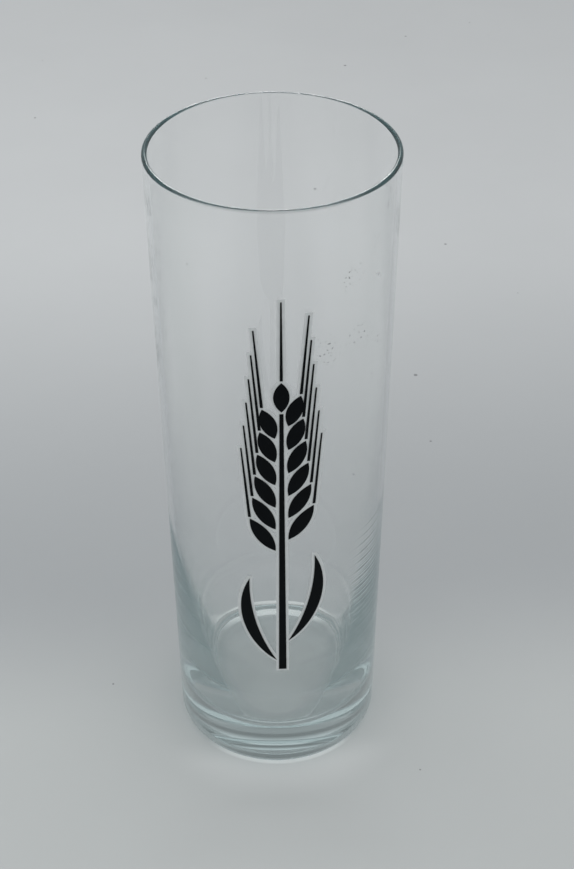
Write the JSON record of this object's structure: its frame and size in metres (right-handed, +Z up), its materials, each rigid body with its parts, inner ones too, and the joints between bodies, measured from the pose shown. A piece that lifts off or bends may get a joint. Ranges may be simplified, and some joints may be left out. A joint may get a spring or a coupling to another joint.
{
  "type": "beer glass",
  "caption": "Slim, nearly cylindrical drinking glass with a rounded lip and a thick bowl-shaped base, printed on one side with a black barley ear over a pale underlay.",
  "frame": {"origin": "middle of the flat ring that the glass stands on, at table height", "axes": "+Z up along the axis of the glass, -Y towards the side that carries the print"},
  "size_m": [0.05, 0.0501, 0.15],
  "materials": {
    "clear_glass": "fire polished",
    "pale_enamel": "fired enamel, satin",
    "black_enamel": "fired enamel, satin"
  },
  "bodies": {
    "root": {"glass_body": "clear_glass", "print_underlay": "pale_enamel", "print_stalk": "black_enamel", "print_leaf_left": "black_enamel", "print_leaf_right": "black_enamel", "print_grains_left": "black_enamel", "print_grains_right": "black_enamel", "print_tip_grain": "black_enamel", "print_awns": "black_enamel"}
  },
  "joints": []
}
